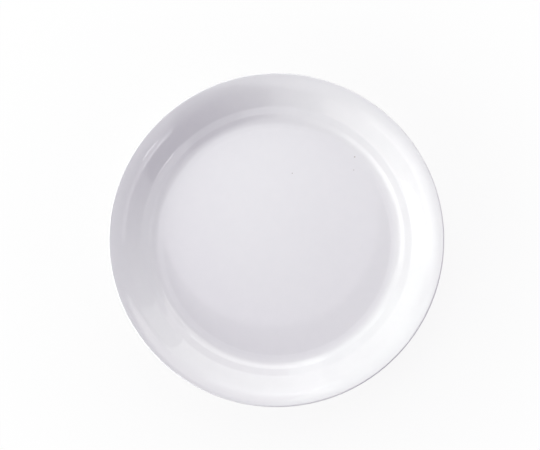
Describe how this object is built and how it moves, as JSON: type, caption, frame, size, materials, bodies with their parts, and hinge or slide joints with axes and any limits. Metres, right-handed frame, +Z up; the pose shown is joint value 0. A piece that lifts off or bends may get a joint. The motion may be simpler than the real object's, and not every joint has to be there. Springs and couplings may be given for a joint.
{
  "type": "paper plate",
  "caption": "Round moulded paper plate with a glossy coated face, a crowned floor in a stepped well, a wide sloping flange and a turned-down lip, for serving food.",
  "frame": {"origin": "centre of the plate, at the height of the level ring that it stands on", "axes": "+Z up, along the plate's axis and out of the food side; X and Y lie in the plane that it stands on"},
  "size_m": [0.23, 0.23, 0.018],
  "materials": {
    "coated_paper": "gloss"
  },
  "bodies": {
    "root": {"plate": "coated_paper"}
  },
  "joints": []
}
